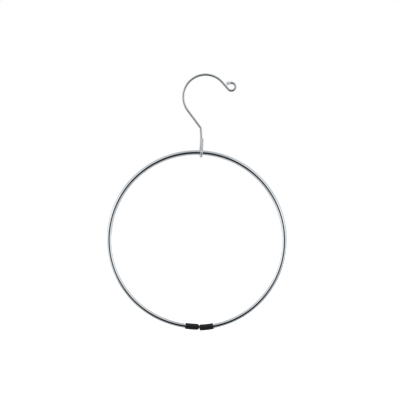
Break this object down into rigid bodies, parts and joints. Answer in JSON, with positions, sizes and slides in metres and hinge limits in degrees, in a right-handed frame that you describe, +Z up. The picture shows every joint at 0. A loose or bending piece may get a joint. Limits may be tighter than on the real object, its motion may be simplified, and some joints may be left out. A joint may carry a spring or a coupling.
{
  "type": "ring hanger",
  "caption": "Wire hanger for scarves: a sprung ring, open at the bottom between rubber-tipped ends, on a bent wire hook whose eye turns on the ring.",
  "frame": {"origin": "the point inside the hook's crown that a rail carries", "axes": "+Z up, +Y along the rail, from the front of the hanger to its back, +X to the side the hook opens on"},
  "size_m": [0.2037, 0.012, 0.2907],
  "materials": {
    "hook_wire": "bright plated wire",
    "ring_wire": "bright plated wire",
    "rubber_tip": "black, satin"
  },
  "bodies": {
    "hook": {"hook": "hook_wire"},
    "ring": {"ring_crown": "ring_wire"},
    "left_arm": {"ring_left_arm": "ring_wire", "left_rubber_tip": "rubber_tip"},
    "right_arm": {"ring_right_arm": "ring_wire", "right_rubber_tip": "rubber_tip"}
  },
  "joints": [
    {"name": "ring_swing", "type": "hinge", "parent": "hook", "child": "ring", "pos_m": [-0.00493, 0, -0.08662], "axis": [0.9988, 0, -0.0499], "continuous": true},
    {"name": "left_arm_open", "type": "hinge", "parent": "ring", "child": "left_arm", "pos_m": [-0.0843, 0, -0.11593], "axis": [0, 1, 0], "range_deg": [0, 7], "stiffness_Nm_per_rad": 53.4},
    {"name": "right_arm_open", "type": "hinge", "parent": "ring", "child": "right_arm", "pos_m": [0.06017, 0, -0.11159], "axis": [0, -1, 0], "range_deg": [0, 7], "stiffness_Nm_per_rad": 53.4}
  ],
  "couplings": [
    {"joint": "right_arm_open", "follows": "left_arm_open", "ratio": 1}
  ]
}
